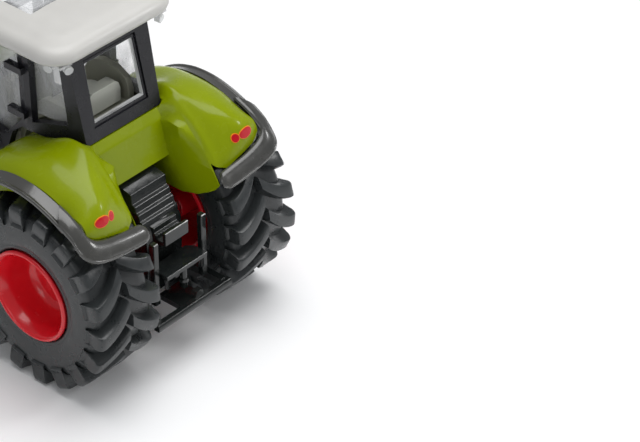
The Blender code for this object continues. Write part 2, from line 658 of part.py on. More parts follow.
def main():
    for item in list(bpy.data.objects):
        bpy.data.objects.remove(item)
    surfaces = {
        "green": material("green_paint", (0.22, 0.30, 0.01), 0.25),
        "black": material("black_plastic", (0.02, 0.02, 0.02), 0.4),
        "trim": material("grey_trim", (0.06, 0.06, 0.055), 0.3),
        "cream": material("cream_plastic", (0.72, 0.71, 0.66), 0.35),
        "grey": material("grey_plastic", (0.22, 0.23, 0.19), 0.5),
        "clear": material("clear_plastic", (0.8, 0.82, 0.84), 0.08, alpha=0.35),
        "red": material("red_plastic", (0.60, 0.012, 0.012), 0.3),
        "rubber": material("tyre_rubber", (0.03, 0.035, 0.035), 0.6),
        "steel": material("axle_steel", (0.6, 0.6, 0.6), 0.3, 1.0),
    }
    rear_tyre = tyre(REAR_TYRE_CENTRE_X, REAR_TYRE_HALF_WIDTH, REAR_RADIUS, REAR_BORE, REAR_LUGS, 2.0, 36)
    front_tyre = tyre(FRONT_TYRE_CENTRE_X, FRONT_TYRE_HALF_WIDTH, FRONT_RADIUS, FRONT_BORE, FRONT_LUGS,
                      1.6, 32)
    add_wheelset("rear", rear_rim(), rear_tyre, 18.1, 0.0, REAR_RADIUS, surfaces)
    add_wheelset("front", front_rim(), front_tyre, 18.9, FRONT_AXLE_Y, FRONT_RADIUS, surfaces)
    single_pieces = {
        "rear_body": (rear_body(), "green"),
        "bonnet": (bonnet(), "green"),
        "cab_frame": (cab_frame(), "black"),
        "cab_glazing": (cab_glazing(), "clear"),
        "roof": (roof(), "cream"),
        "skylight": (skylight(), "clear"),
        "interior": (interior(), "grey"),
        "seat": (seat(), "grey"),
        "steering_wheel": (steering_wheel(), "grey"),
        "grille": (grille(), "black"),
        "exhaust": (exhaust(), "black"),
        "chassis": (chassis(), "black"),
        "hitch_plate": (hitch_plate(), "black"),
        "hitch_bar": (hitch_bar(), "black"),
        "front_rivet": (rivet(FRONT_RIVET_Y), "steel"),
        "rear_rivet": (rivet(REAR_RIVET_Y), "steel"),
        "tail_lamp_left": (tail_lamp(1), "red"),
        "tail_lamp_right": (tail_lamp(-1), "red"),
    }
    for name, (shape, surface) in single_pieces.items():
        make_object(name, shape, surfaces[surface])
    paired_pieces = {
        "fender_trim": (fender_trim(), "trim"),
        "headlamp": (headlamp(), "clear"),
        "roof_lamps": (roof_lamps(1), "clear"),
        "lift_rod": (lift_rod(), "black"),
    }
    for name, (shape, surface) in paired_pieces.items():
        make_object(name + "_right", mirrored(shape), surfaces[surface])
        make_object(name + "_left", shape, surfaces[surface])


main()
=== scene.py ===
"""The toy tractor's finished look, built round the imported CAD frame.

Shapes are drawn in millimetres in the tractor's own axes: x = 0 on the centre plane with +X to the
tractor's left, y = 0 at the rear axle with the bonnet towards -Y, and z = 0 on the ground. `add_piece`
turns them into metres and sets them down where the frame's own rear axle is. The floor, the lights and
the camera are placed in metres.
"""

import math

import bmesh
import bpy
from mathutils import Matrix, Vector


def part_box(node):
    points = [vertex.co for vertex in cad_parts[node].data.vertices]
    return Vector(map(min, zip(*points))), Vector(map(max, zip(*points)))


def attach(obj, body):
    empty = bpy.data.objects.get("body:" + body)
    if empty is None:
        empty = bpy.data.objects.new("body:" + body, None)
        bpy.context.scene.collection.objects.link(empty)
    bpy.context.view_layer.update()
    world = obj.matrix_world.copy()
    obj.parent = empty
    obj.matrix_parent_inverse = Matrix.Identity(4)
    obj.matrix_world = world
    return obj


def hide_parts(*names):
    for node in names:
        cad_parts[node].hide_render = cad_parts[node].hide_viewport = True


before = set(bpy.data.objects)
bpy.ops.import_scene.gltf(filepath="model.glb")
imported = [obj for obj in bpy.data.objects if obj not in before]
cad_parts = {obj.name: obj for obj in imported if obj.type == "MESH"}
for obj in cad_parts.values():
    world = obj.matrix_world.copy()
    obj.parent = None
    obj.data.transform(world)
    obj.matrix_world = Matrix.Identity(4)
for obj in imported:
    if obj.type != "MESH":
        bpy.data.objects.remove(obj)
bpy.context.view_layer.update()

MM = 0.001
BODY = "tractor_body"


def axle_centre(node):
    """The middle of an axle, in metres in the frame."""
    near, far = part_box(node)
    return (near + far) / 2


REAR_AXLE = axle_centre("rear_axle")
FRONT_AXLE = axle_centre("front_axle")
TO_FRAME = Matrix.Translation((0.0, REAR_AXLE.y, 0.0)) @ Matrix.Scale(MM, 4)
REAR_AXLE_Z = REAR_AXLE.z / MM
FRONT_AXLE_Y = (FRONT_AXLE.y - REAR_AXLE.y) / MM
FRONT_AXLE_Z = FRONT_AXLE.z / MM
ROOF_BOTTOM_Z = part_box("roof")[0].z / MM
ROOF_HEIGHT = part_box("roof")[1].z / MM - ROOF_BOTTOM_Z

# The gap between neighbours, the steps of a full turn, the angle in degrees from which an edge is crisp,
# and the width of the flat chamfers.
TOUCH_GAP = 0.3
ROUND_STEPS = 128
CRISP_ANGLE = 32
CHAMFER = 0.15

# Tread bars: how far they sweep back, their half widths at foot and top, and how much they flare outwards.
BAR_SWEEP = math.radians(15)
BAR_FOOT = 1.85
BAR_TOP = 1.30
BAR_FLARE = 0.14

# The rear wheel arch and the trim round it.
ARCH_RADIUS = REAR_AXLE_Z + 0.5
ARCH_INNER_X = 10.7
ARCH_OUTER_X = 30.0
TRIM_INNER_X = 22.85

# The cab between its sill and its top, and how far its rear face leans forward over that height.
SILL_Z = 44.5
CAB_HEIGHT = 18.0
CAB_REAR_Y = 0.55
CAB_REAR_LEAN = 3.4

# The roof lid, its hatch and the opening in the rim under it.
ROOF_WIDTH = 32.0
ROOF_LENGTH = 33.4
ROOF_CENTRE = (0.0, -16.2)
HATCH = ((-8.8, -28.0, 60.0), (8.8, -13.1, 70.0))
RIM_OPENING = ((-9.0, -29.5, 60.0), (9.0, -3.2, 70.0))

# The left tail lamp's print: centres and radii as (x, z), and the reach in y that crosses the fender's face.
LARGE_LAMP = ((19.0, 38.9), (1.62, 0.92))
SMALL_LAMP = ((16.5, 38.75), (0.78, 0.78))
LAMP_REACH = (8.0, 16.0)
LAMP_EDGE_WIDTH = 0.13
LAMP_EDGE_DEPTH = 0.10
LAMP_DEPTH = 0.14

# The bonnet's side vent: the lowest bar's corners, how far each next bar moves up and back, and how far
# the bars and the intake panel on top stand proud.
VENT_BARS = 6
VENT_STEP = 1.35
VENT_LEAN = 0.7
VENT_LOW = (6.0, -60.0, 29.6)
VENT_HIGH = (12.0, -41.0, 30.4)
VENT_RISE = 0.12
SPINE_RISE = 0.1

# The camera, in metres: its direction from behind, its distance from the target and its sideways step.
CAMERA_TURN = math.radians(49.04)
CAMERA_TILT = math.radians(35.74)
CAMERA_DISTANCE = 0.5
CAMERA_LENS = 147.97
CAMERA_TARGET_Z = 0.020
CAMERA_RIGHT = 0.0365
CAMERA_UP = 0.002


# ---------------------------------------------------------------- shape tools

def loft(rings):
    """A skin through rings that all have the same number of points, with capped ends."""
    shape = bmesh.new()
    rows = [[shape.verts.new(point) for point in ring] for ring in rings]
    count = len(rows[0])
    for near, far in zip(rows, rows[1:]):
        for i in range(count):
            j = (i + 1) % count
            shape.faces.new((near[i], near[j], far[j], far[i]))
    shape.faces.new(rows[0])
    shape.faces.new(reversed(rows[-1]))
    bmesh.ops.recalc_face_normals(shape, faces=shape.faces)
    return shape


def prism(axis, outline, low, high):
    """An outline in the plane across an axis, drawn in the order of the two other axes, made solid."""
    def lift(a, b, along):
        """A point of the outline, moved along the axis."""
        return {"x": (along, a, b), "y": (a, along, b), "z": (a, b, along)}[axis]
    return loft([[lift(a, b, along) for a, b in outline] for along in (low, high)])


def box(low, high):
    """A box between two opposite corners."""
    outline = [(low[1], low[2]), (high[1], low[2]), (high[1], high[2]), (low[1], high[2])]
    return prism("x", outline, low[0], high[0])


def turned(profile, y=0.0, z=0.0):
    """A closed profile of (x, radius) points turned about an axis along X. A radius of 0 is a pole."""
    shape = bmesh.new()
    rings = []
    for x, radius in profile:
        if radius == 0:
            rings.append([shape.verts.new((x, y, z))] * ROUND_STEPS)
            continue
        angles = [2 * math.pi * i / ROUND_STEPS for i in range(ROUND_STEPS)]
        ring = [(x, y + radius * math.cos(a), z + radius * math.sin(a)) for a in angles]
        rings.append([shape.verts.new(point) for point in ring])
    for k in range(len(rings)):
        near, far = rings[k], rings[(k + 1) % len(rings)]
        for i in range(ROUND_STEPS):
            j = (i + 1) % ROUND_STEPS
            corners = list(dict.fromkeys((near[i], near[j], far[j], far[i])))
            if len(corners) > 2:
                shape.faces.new(corners)
    bmesh.ops.recalc_face_normals(shape, faces=shape.faces)
    return shape


def mirrored(shape):
    """The same shape on the tractor's other side."""
    copy = shape.copy()
    bmesh.ops.scale(copy, vec=(-1, 1, 1), verts=copy.verts)
    bmesh.ops.recalc_face_normals(copy, faces=copy.faces)
    return copy


def joined(*shapes):
    """Several shapes in one bmesh."""
    mesh = bpy.data.meshes.new("joined")
    total = bmesh.new()
    for shape in shapes:
        shape.to_mesh(mesh)
        total.from_mesh(mesh)
        shape.free()
    bpy.data.meshes.remove(mesh)
    return total


def cut(base, *cutters, operation="DIFFERENCE"):
    """The base with each cutter taken out of it, or combined with it by another operation."""
    for cutter in cutters:
        holders = []
        for shape in (base, cutter):
            mesh = bpy.data.meshes.new("operand")
            shape.to_mesh(mesh)
            shape.free()
            holder = bpy.data.objects.new("operand", mesh)
            bpy.context.scene.collection.objects.link(holder)
            holders.append(holder)
        modifier = holders[0].modifiers.new("combine", "BOOLEAN")
        modifier.operation = operation
        modifier.object = holders[1]
        base = bmesh.new()
        base.from_object(holders[0], bpy.context.evaluated_depsgraph_get())
        for holder in holders:
            mesh = holder.data
            bpy.data.objects.remove(holder)
            bpy.data.meshes.remove(mesh)
    return base


def smooth_line(points, steps, corners=()):
    """Points along a soft curve through the given ones, which turns sharply at the numbered corners."""
    points = [Vector(point) for point in points]
    stops = sorted({0, len(points) - 1, *corners})
    line = [points[0]]
    for first, last in zip(stops, stops[1:]):
        for i in range(first, last):
            before = points[max(i - 1, first)]
            after = points[min(i + 2, last)]
            start, end = points[i], points[i + 1]
            for k in range(1, steps + 1):
                t = k / steps
                line.append(0.5 * (2 * start + (end - before) * t
                                   + (2 * before - 5 * start + 4 * end - after) * t * t
                                   + (3 * start - before - 3 * end + after) * t ** 3))
    return line


def rounded(width, depth, corner, steps, centre):
    """A rounded rectangle, as a list of points, counter-clockwise."""
    points = []
    for k, (sx, sy) in enumerate(((1, 1), (-1, 1), (-1, -1), (1, -1))):
        for i in range(steps + 1):
            angle = math.radians(90 * (k + i / steps))
            points.append((centre[0] + sx * (width / 2 - corner) + corner * math.cos(angle),
                           centre[1] + sy * (depth / 2 - corner) + corner * math.sin(angle)))
    return points


def ellipse(centre, radii, segments):
    """An ellipse, as a list of points, counter-clockwise."""
    angles = [2 * math.pi * i / segments for i in range(segments)]
    return [(centre[0] + radii[0] * math.cos(a), centre[1] + radii[1] * math.sin(a)) for a in angles]


def cad_shape(node):
    """A copy of a CAD node's own shape, in millimetres, with its flat faces made whole again."""
    shape = bmesh.new()
    shape.from_mesh(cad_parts[node].data)
    bmesh.ops.transform(shape, matrix=TO_FRAME.inverted(), verts=shape.verts)
    bmesh.ops.remove_doubles(shape, verts=shape.verts, dist=0.002)
    bmesh.ops.dissolve_limit(shape, angle_limit=math.radians(2), verts=shape.verts, edges=shape.edges)
    return shape


def chamfered(shape):
    """The same shape with a flat chamfer on its crisp edges, so that each edge catches the light."""
    bmesh.ops.dissolve_limit(shape, angle_limit=math.radians(1), verts=shape.verts, edges=shape.edges)
    crisp = [edge for edge in shape.edges if edge.calc_face_angle(0.0) > math.radians(CRISP_ANGLE)]
    bmesh.ops.bevel(shape, geom=crisp, offset=CHAMFER, segments=1, affect="EDGES", clamp_overlap=True)
    return shape


def add_piece(name, shape, surface, slot, nodes=(), body=BODY, soft_edge=0.0, crisp=CRISP_ANGLE):
    """Put a shape in millimetres into the scene as a piece that rides on a body and stands for CAD nodes."""
    bmesh.ops.transform(shape, matrix=TO_FRAME, verts=shape.verts)
    mesh = bpy.data.meshes.new(name)
    shape.to_mesh(mesh)
    shape.free()
    mesh.shade_smooth()
    mesh.set_sharp_from_angle(angle=math.radians(crisp))
    mesh.materials.append(surface)
    piece = bpy.data.objects.new(name, mesh)
    bpy.context.scene.collection.objects.link(piece)
    if soft_edge:
        bevel = piece.modifiers.new("soft edges", "BEVEL")
        bevel.width = soft_edge * MM
        bevel.segments = 3
        bevel.limit_method = "ANGLE"
        bevel.angle_limit = math.radians(crisp)
        bevel.harden_normals = True
    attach(piece, body)
    if nodes:
        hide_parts(*nodes)


def add_pair(name, shape, surface, slot, node="", **finish):
    """Add a left-hand shape and its mirror image, each for its own side's CAD node if it has one."""
    for side, half in (("left", shape.copy()), ("right", mirrored(shape))):
        nodes = [f"{node}_{side}"] if node else ()
        add_piece(f"{name}_{side}", half, surface, slot, nodes, **finish)
    shape.free()


# ---------------------------------------------------------------- materials

def add_noise(made, scale, detail, roughness=0.5):
    """A noise texture that is fixed to the surface's own coordinates, in a material."""
    nodes, links = made.node_tree.nodes, made.node_tree.links
    place = nodes.new("ShaderNodeTexCoord")
    noise = nodes.new("ShaderNodeTexNoise")
    noise.inputs["Scale"].default_value = scale
    noise.inputs["Detail"].default_value = detail
    noise.inputs["Roughness"].default_value = roughness
    links.new(place.outputs["Object"], noise.inputs["Vector"])
    return noise


def drive(made, noise, span, values, target):
    """Let a noise move one of the shader's values between two limits, over the given span of the noise."""
    nodes, links = made.node_tree.nodes, made.node_tree.links
    scaled = nodes.new("ShaderNodeMapRange")
    scaled.inputs["From Min"].default_value, scaled.inputs["From Max"].default_value = span
    scaled.inputs["To Min"].default_value, scaled.inputs["To Max"].default_value = values
    links.new(noise.outputs["Fac"], scaled.inputs["Value"])
    links.new(scaled.outputs["Result"], nodes["Principled BSDF"].inputs[target])


def add_tones(made, colour, second, scale):
    """Two close tones in soft patches."""
    nodes, links = made.node_tree.nodes, made.node_tree.links
    patches = add_noise(made, scale, 5.0, 0.6)
    tones = nodes.new("ShaderNodeValToRGB")
    for stop, position, tone in zip(tones.color_ramp.elements, (0.3, 0.7), (colour, second)):
        stop.position = position
        stop.color = (*tone, 1.0)
    links.new(patches.outputs["Fac"], tones.inputs["Fac"])
    links.new(tones.outputs["Color"], nodes["Principled BSDF"].inputs["Base Color"])


def add_grain(made, grain, scale):
    """A fine moulded grain, as deep as the given size in millimetres."""
    nodes, links = made.node_tree.nodes, made.node_tree.links
    pores = add_noise(made, scale, 2.0)
    bump = nodes.new("ShaderNodeBump")
    bump.inputs["Strength"].default_value = 0.6
    bump.inputs["Distance"].default_value = grain * MM
    links.new(pores.outputs["Fac"], bump.inputs["Height"])
    links.new(bump.outputs["Normal"], nodes["Principled BSDF"].inputs["Normal"])


def moulded(name, colour, second, roughness, grain=0.02, grain_scale=2500.0, coat=0.0, metallic=0.0,
            patch=90.0, gloss_spread=0.08, specular=0.5):
    """A moulded or painted surface: two close tones in soft patches, uneven gloss, and a fine grain."""
    made = bpy.data.materials.new(name)
    made.use_nodes = True
    shader = made.node_tree.nodes["Principled BSDF"]
    shader.inputs["Metallic"].default_value = metallic
    shader.inputs["Coat Weight"].default_value = coat
    shader.inputs["Coat Roughness"].default_value = 0.06
    shader.inputs["Specular IOR Level"].default_value = specular
    add_tones(made, colour, second, patch)
    smears = add_noise(made, patch * 4, 3.0)
    gloss = (max(0.02, roughness - gloss_spread), roughness + gloss_spread)
    drive(made, smears, (0.3, 0.7), gloss, "Roughness")
    add_grain(made, grain, grain_scale)
    return made


def clear_plastic(name, tint, low_alpha, high_alpha):
    """Clear moulded plastic: mostly see-through, with milky white streaks that are painted reflections."""
    made = moulded(name, tint, tint, 0.12, grain=0.03, grain_scale=900.0, gloss_spread=0.06)
    nodes, links = made.node_tree.nodes, made.node_tree.links
    # Soft stretched noise that lays painted reflections on the plastic as whiter, less see-through streaks.
    reflection_streaks = add_noise(made, 130.0, 2.5)
    reflection_streaks.inputs["Distortion"].default_value = 0.5
    place = reflection_streaks.inputs["Vector"].links[0].from_socket
    stretch = nodes.new("ShaderNodeMapping")
    stretch.inputs["Scale"].default_value = (1.0, 1.0, 0.6)
    links.new(place, stretch.inputs["Vector"])
    links.new(stretch.outputs["Vector"], reflection_streaks.inputs["Vector"])
    drive(made, reflection_streaks, (0.38, 0.68), (low_alpha, high_alpha), "Alpha")
    return made


GREEN = moulded("green_paint", (0.222, 0.284, 0.0), (0.238, 0.300, 0.001), 0.24, grain=0.004,
                grain_scale=1400.0, coat=0.14, specular=0.16)
BLACK = moulded("black_plastic", (0.009, 0.009, 0.012), (0.015, 0.015, 0.019), 0.30, grain=0.010,
                specular=0.32)
GEAR_BLACK = moulded("gearbox_black", (0.008, 0.010, 0.010), (0.016, 0.018, 0.017), 0.17, grain=0.008,
                     patch=160.0)
TRIM = moulded("grey_trim", (0.040, 0.040, 0.037), (0.056, 0.055, 0.050), 0.24, grain=0.008, coat=0.4)
CREAM = moulded("cream_plastic", (0.52, 0.51, 0.485), (0.56, 0.55, 0.525), 0.38, grain=0.010)
# The interior's and steering wheel's grey is a darker, olive copy of the seat's grey: painted shade of the
# roof over the inside of the cab.
GREY_IN_PAINTED_SHADE = moulded("grey_plastic", (0.25, 0.25, 0.20), (0.30, 0.30, 0.24), 0.45, grain=0.02)
SEAT_GREY = moulded("seat_grey", (0.50, 0.51, 0.45), (0.56, 0.57, 0.51), 0.42, grain=0.02)
RED = moulded("red_plastic", (0.68, 0.009, 0.018), (0.74, 0.012, 0.022), 0.20, grain=0.006, coat=0.45,
              specular=0.35)
LAMP_RED = moulded("lamp_red", (0.50, 0.002, 0.010), (0.56, 0.004, 0.014), 0.25, grain=0.006, coat=0.15,
                   specular=0.25)
LAMP_EDGE = moulded("lamp_edge", (0.80, 0.25, 0.01), (0.84, 0.30, 0.02), 0.30, grain=0.006, specular=0.25)
RUBBER = moulded("tyre_rubber", (0.021, 0.024, 0.025), (0.033, 0.037, 0.038), 0.32, grain=0.020,
                 grain_scale=1800.0, patch=140.0)
STEEL = moulded("axle_steel", (0.55, 0.55, 0.54), (0.64, 0.63, 0.61), 0.30, metallic=1.0)
# Both clear plastics carry painted reflections as white streaks; the lenses carry more of them.
GLASS = clear_plastic("clear_plastic", (0.80, 0.81, 0.83), 0.10, 0.50)
LENS = clear_plastic("lens_plastic", (0.85, 0.86, 0.86), 0.35, 0.80)


# ---------------------------------------------------------------- wheels

def tread_bar(centre_x, half_width, radius, height, start, side):
    """One curved tread bar with stepped, softened edges, which runs down over the shoulder."""
    shoulder = radius - height - 1.7
    stations = [(0.03 + 0.75 * i / 9, 0.0, height) for i in range(10)]
    stations += [(0.86, 0.0, height + 0.1), (0.93, 0.03, height + 0.3), (0.98, 0.12, height + 0.8),
                 (1.02, 0.3, height + 1.2), (1.045, 0.6, radius - shoulder), (1.05, 1.3, radius - shoulder),
                 (1.045, 2.4, radius - shoulder + 0.2), (1.0, 3.5, radius - shoulder + 0.5)]
    rings = []
    for share, drop, depth in stations:
        angle = start - BAR_SWEEP * (1 - (1 - min(share, 1.0)) ** 1.8)
        x = centre_x + side * share * half_width
        flare = 1.0 + BAR_FLARE * share
        base, top = BAR_FOOT * flare / radius, BAR_TOP * flare / radius
        foot, crest = radius - depth - 0.5, radius - drop
        half = [(base, foot), (top + 0.22 / radius, max(foot, crest - 0.75)),
                (top + 0.05 / radius, crest - 0.3), (top - 0.12 / radius, crest - 0.06),
                (top - 0.35 / radius, crest)]
        half = [(d, max(foot + 0.02 * k, r)) for k, (d, r) in enumerate(half)]
        corners = half + [(-d, r) for d, r in reversed(half)]
        rings.append([(x, r * math.cos(angle + d), r * math.sin(angle + d)) for d, r in corners])
    return loft(rings)


def tyre(centre_x, half_width, radius, bore, lugs, height):
    """A rubber tyre with a smooth bulging sidewall, a bead ring and two rows of alternating bars."""
    tread = radius - height
    side = [(0.86, bore), (0.94, bore + 0.35), (0.965, bore + 0.9), (0.955, bore + 1.25),
            (0.985, bore + 2.1), (1.0, bore + 3.6), (0.985, tread - 2.3), (0.95, tread - 1.3),
            (0.89, tread - 0.6), (0.8, tread - 0.25)]
    outer = smooth_line([(s, r, 0.0) for s, r in side], 4)
    outer = [(centre_x + p.x * half_width, p.y) for p in outer]
    inner = [(2 * centre_x - x, r) for x, r in reversed(outer)]
    crown = [(centre_x + half_width * s, tread - 0.25 * s * s / 0.64) for s in (0.6, 0.3, 0.0, -0.3, -0.6)]
    carcass = turned(outer + crown + inner)
    pitch = 2 * math.pi / lugs
    bars = []
    for i in range(lugs):
        start = -math.pi / 2 + i * pitch
        bars.append(tread_bar(centre_x, half_width, radius, height, start, 1))
        bars.append(tread_bar(centre_x, half_width, radius, height, start + pitch / 2, -1))
    return joined(carcass, *bars)


def rim(profile):
    """A wheel centre turned from a profile whose numbered corners are kept crisp."""
    points, corners = profile
    line = smooth_line([(x, r, 0.0) for x, r in points], 5, corners)
    return turned([(p.x, max(p.y, 0.0)) for p in line])


REAR_RIM = ([(19.3, 0.0), (19.35, 1.5), (19.45, 2.6), (19.1, 3.1), (18.75, 3.4), (18.75, 5.4), (19.0, 6.1),
             (19.9, 6.9), (21.6, 7.3), (23.6, 7.6), (25.0, 8.1), (25.9, 8.5), (26.15, 8.7), (26.38, 8.8),
             (26.45, 8.95), (26.35, 9.25), (25.9, 9.45), (25.5, 9.1), (18.7, 8.9), (11.9, 9.1), (11.6, 9.4),
             (11.3, 9.4), (11.2, 8.7), (12.3, 8.1), (16.6, 7.1), (17.5, 5.8), (17.5, 3.2), (12.6, 2.7),
             (12.4, 2.4), (12.4, 1.25), (18.3, 1.25), (18.3, 0.0)],
            (3, 4, 12, 13, 17, 24, 25, 26, 28, 29, 30))
FRONT_RIM = ([(20.0, 0.0), (20.05, 1.2), (20.1, 2.0), (19.9, 2.4), (19.6, 2.6), (19.6, 4.1), (19.9, 4.7),
              (20.6, 5.3), (21.8, 5.55), (23.0, 5.8), (23.6, 6.1), (23.9, 6.4), (24.2, 6.5), (24.3, 6.8),
              (24.1, 7.2), (23.4, 7.0), (18.5, 6.9), (13.4, 7.0), (13.1, 7.3), (12.8, 7.2), (12.8, 6.5),
              (13.6, 6.1), (17.2, 5.3), (18.2, 4.4), (18.2, 2.6), (13.6, 2.1), (13.6, 1.25), (19.0, 1.25),
              (19.0, 0.0)],
             (3, 4, 11, 12, 15, 22, 23, 24, 26, 27))


def add_wheelset(prefix, profile, rubber, y, z):
    """Both wheels of one axle: rims and tyres, with the CAD axle between them."""
    body = prefix + "_wheelset"
    move = Matrix.Translation((0.0, y, z))
    for side in ("left", "right"):
        for part, shape, surface, slot in (("rim", rim(profile), RED, "red_plastic"),
                                           ("tyre", rubber.copy(), RUBBER, "tyre_rubber")):
            if side == "right":
                shape = mirrored(shape)
            bmesh.ops.transform(shape, matrix=move, verts=shape.verts)
            node = f"{prefix}_{part}_{side}"
            add_piece(f"{node}_finished", shape, surface, slot, [node], body)
    rubber.free()
    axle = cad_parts[prefix + "_axle"].data
    axle.materials.clear()
    axle.materials.append(STEEL)


def add_wheels():
    """The large rear wheelset and the small front one."""
    rear_tyre = tyre(centre_x=18.7, half_width=7.5, radius=19.5, bore=9.4, lugs=18, height=2.0)
    front_tyre = tyre(centre_x=18.6, half_width=5.6, radius=14.5, bore=7.3, lugs=16, height=1.6)
    add_wheelset("rear", REAR_RIM, rear_tyre, 0.0, REAR_AXLE_Z)
    add_wheelset("front", FRONT_RIM, front_tyre, FRONT_AXLE_Y, FRONT_AXLE_Z)


# ---------------------------------------------------------------- green castings

def fender_line(crown, rear, foot, fullness=1.0):
    """The side view of a fender's skin, from its front foot over the crown to its rear lower edge.

    A full one stands nearly upright behind; one of no fullness slopes down from the crown.
    """
    shoulder = 40.4 + 0.5 * crown
    front_crown = min(crown, 0.0)
    slope = 1.0 - fullness
    return [(-19.7, 28.3), (-19.4, 33.0), (-17.2, 38.6 + front_crown), (-13.0, 42.2 + front_crown),
            (-7.5, 44.2 + front_crown), (-1.5, 44.7 + crown), (4.0 - 1.4 * slope, 44.0 + crown),
            (rear - 4.2 - 4.5 * slope, 42.1 + crown), (rear - 1.4 - 4.0 * slope, shoulder),
            (rear - 0.4 - 1.6 * slope, foot + 0.5 * (shoulder - foot)), (rear, foot)]


# Side views of the skin as (y, z), which share their front edge and then run back over the crown and down.
FRONT_EDGE = [(-19.7, 28.3), (-19.4, 33.0), (-17.2, 38.2), (-13.0, 41.8)]
CREASE_LINE = FRONT_EDGE + [(-7.5, 43.5), (-1.5, 45.2), (1.6, 45.6), (4.2, 44.1), (7.5, 40.8), (11.0, 36.7),
                            (14.3, 31.4)]
FLANK_LINE = FRONT_EDGE + [(-7.5, 43.3), (-1.5, 44.5), (1.0, 44.9), (3.0, 43.6), (6.7, 41.6), (8.5, 36.9),
                           (10.6, 29.8)]
SIDE_WALL_LINE = FRONT_EDGE + [(-7.5, 43.2), (-1.5, 43.9), (0.6, 44.3), (1.8, 42.6), (6.0, 42.2),
                               (6.5, 37.0), (7.9, 29.4)]
CENTRE_LINE = FRONT_EDGE + [(-7.5, 43.2), (-1.5, 43.9), (0.6, 44.3), (1.8, 42.5), (2.4, 40.0), (3.3, 36.5),
                            (3.7, 35.2)]
CAB_FLOOR_LINE = [(6.0, 44.55), (-1.6, 44.55), (-2.4, 43.1), (-15.0, 43.0), (-18.6, 40.2), (-20.2, 36.5),
                  (-20.4, 31.6), (-40.0, 31.6)]


def mixed(near, far, share):
    """The outline part of the way from one to another."""
    return [((1 - share) * a + share * c, (1 - share) * b + share * d) for (a, b), (c, d) in zip(near, far)]


def wheel_arch():
    """The space for the left rear wheel, as a plug to cut out of the casting."""
    profile = [(ARCH_INNER_X, 0.0), (ARCH_INNER_X, ARCH_RADIUS), (ARCH_OUTER_X, ARCH_RADIUS),
               (ARCH_OUTER_X, 0.0)]
    return turned(profile, z=REAR_AXLE_Z)


def cab_rear(z):
    """Where the cab's rear face stands at one height; it leans forward towards the roof."""
    return CAB_REAR_Y - CAB_REAR_LEAN * (z - SILL_Z) / CAB_HEIGHT


def cab_ring(z, grow):
    """The cab's plan at one height: widest at the door pillar, narrower at the windscreen and the rear."""
    share = (z - SILL_Z) / CAB_HEIGHT
    front = -30.3 + 4.6 * max(share, 0.0)
    half = [(9.7 + 0.5 * share, cab_rear(z)), (11.3, -13.6), (8.7 + 0.3 * share, front)]
    points = [(x + grow, y + step) for (x, y), step in zip(half, (grow, 0.0, -grow))]
    return [(x, y, z) for x, y in points + [(-x, y) for x, y in reversed(points)]]


def cab_shell(grow, drop):
    """The cab's outer form, grown by a gap, and cut off along its lower line."""
    outline = [(y, z - drop) for y, z in CAB_FLOOR_LINE] + [(-40.0, 10.0), (6.0, 10.0)]
    return cut(loft([cab_ring(z, grow) for z in (25.0, SILL_Z, 62.4)]), prism("x", outline, -40.0, 40.0))


def skin_ring(x, line, foot, corners=()):
    """One side view of the rear casting: a soft skin line that is closed by its underside."""
    skin = smooth_line([(x, y, z) for y, z in line], 5, corners)
    return skin + [Vector((x, y, z)) for y, z in foot]


def rear_body():
    """The rear casting: both fenders, the ledge under the rear window, and the recess over the gearbox."""
    centre_foot = [(3.0, 35.0), (2.4, 34.6), (-9.0, 34.6), (-9.0, 29.0)]
    wall_foot = [(7.5, 28.4), (6.6, 27.9), (-9.0, 27.6), (-9.6, 27.1)]
    flank_foot = [(9.9, 28.3), (8.4, 27.9), (-9.0, 28.0), (-9.6, 27.5)]
    crease_foot = [(12.9, 29.8), (10.8, 28.4), (-9.0, 28.6), (-9.5, 28.0)]
    fender_foot = [(12.0, 33.0), (10.0, 31.0), (-9.0, 31.0), (-9.3, 29.6)]
    shoulder = fender_line(2.2, 14.0, 32.9, 0.0)
    flat_part = [
        (8.1, CENTRE_LINE, centre_foot, (6, 7)),
        (8.5, SIDE_WALL_LINE, wall_foot, (6, 7, 8)),
        (9.4, FLANK_LINE, flank_foot, (6,)),
    ]
    fender_part = [
        (10.5, CREASE_LINE, crease_foot),
        (11.3, mixed(CREASE_LINE, shoulder, 0.6), mixed(crease_foot, fender_foot, 0.6)),
        (12.4, shoulder, fender_foot),
        (14.5, fender_line(1.7, 13.9, 34.4, 0.5), fender_foot),
        (18.0, fender_line(0.8, 13.9, 35.4), fender_foot),
        (21.0, fender_line(-0.5, 13.6, 36.3), fender_foot),
        (22.7, fender_line(-1.8, 13.0, 37.4), fender_foot),
    ]
    flats = [skin_ring(*station) for station in flat_part]
    fenders = [skin_ring(*station) for station in fender_part]
    columns = [smooth_line([row[k] for row in fenders], 4) for k in range(len(fenders[0]))]
    half = flats + [[column[i] for column in columns] for i in range(len(columns[0]))]
    other_half = [[Vector((-p.x, p.y, p.z)) for p in row] for row in reversed(half)]
    body = loft(other_half + half)
    return cut(body, wheel_arch(), mirrored(wheel_arch()), cab_shell(TOUCH_GAP, TOUCH_GAP))


def inlay(base, area, rise):
    """A thin layer that follows the outside of a base over one area, and stands proud by a small step."""
    raised = base.copy()
    bmesh.ops.translate(raised, vec=rise, verts=raised.verts)
    return cut(cut(area, raised, operation="INTERSECT"), base)


def bonnet_vents():
    """The slatted side vent on the left of the bonnet, as raised dark bars."""
    bars = []
    for i in range(VENT_BARS):
        low = (VENT_LOW[0], VENT_LOW[1] + VENT_LEAN * i, VENT_LOW[2] + VENT_STEP * i)
        high = (VENT_HIGH[0], VENT_HIGH[1], VENT_HIGH[2] + VENT_STEP * i)
        bars.append(box(low, high))
    return inlay(cad_shape("bonnet"), joined(*bars), (VENT_RISE, 0.0, 0.0))


